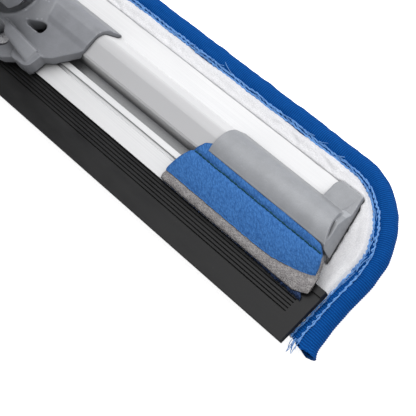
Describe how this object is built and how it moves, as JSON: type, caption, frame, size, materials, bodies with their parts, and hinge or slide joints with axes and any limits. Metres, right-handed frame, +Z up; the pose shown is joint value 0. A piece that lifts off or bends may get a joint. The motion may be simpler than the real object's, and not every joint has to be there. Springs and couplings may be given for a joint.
{
  "type": "window squeegee and washer head",
  "caption": "Window-cleaning head with a rubber blade in front, a bound microfibre pad behind, end wipes, and a swivelling, tilting handle with a pole socket.",
  "frame": {"origin": "middle of the rubber's wiping edge, level with the rubber's top face", "axes": "+X along the head, +Y from the wiping edge to the back of the pad, +Z up along the handle"},
  "size_m": [0.475, 0.0876, 0.205],
  "materials": {
    "anodised_aluminium": "satin anodised, drawn along its length",
    "black_rubber": "matt black",
    "grey_cap_plastic": "fine moulded texture",
    "grey_bracket_plastic": "satin moulded",
    "blue_knit_cloth": "brushed knit",
    "grey_foam": "open cell foam",
    "blue_backing_cloth": "looped knit",
    "hook_tape": "hook tape",
    "loop_cloth": "loop cloth",
    "white_fleece": "microfibre pile",
    "blue_binding": "ribbed binding tape",
    "steel": "bright zinc",
    "brass": "plain",
    "black_plastic": "fine moulded texture",
    "blue_grip_rubber": "soft ribbed"
  },
  "bodies": {
    "head": {"head_profile": "anodised_aluminium", "squeegee_rubber": "black_rubber", "end_cap_left": "grey_cap_plastic", "end_cap_right": "grey_cap_plastic", "wipe_cloth_left": "blue_knit_cloth", "wipe_cloth_right": "blue_knit_cloth", "wipe_foam_left": "grey_foam", "wipe_foam_right": "grey_foam", "wipe_backing_left": "blue_backing_cloth", "wipe_backing_right": "blue_backing_cloth", "hook_tape": "hook_tape", "pad_backing": "loop_cloth", "pad_fleece": "white_fleece", "edge_binding": "blue_binding", "centre_bracket": "grey_bracket_plastic", "bracket_screws": "steel", "swivel_bolt": "steel"},
    "fork": {"swivel_fork": "grey_bracket_plastic", "swivel_insert": "brass", "swivel_washer": "steel", "hinge_pin": "steel", "hinge_nut": "steel"},
    "handle": {"handle_core": "grey_cap_plastic", "handle_grip": "blue_grip_rubber", "friction_discs": "black_plastic"},
    "collar": {"lock_collar": "black_plastic"}
  },
  "joints": [
    {"name": "swivel", "type": "hinge", "parent": "head", "child": "fork", "pos_m": [0, 0.0415, 0.02], "axis": [0, 0, 1], "range_deg": [-90, 90]},
    {"name": "tilt", "type": "hinge", "parent": "fork", "child": "handle", "pos_m": [0, 0.0415, 0.043], "axis": [1, 0, 0], "range_deg": [-60, 60]},
    {"name": "tilt_lock", "type": "slide", "parent": "handle", "child": "collar", "axis": [0, 0, -1], "range_m": [0, 0.003]}
  ]
}
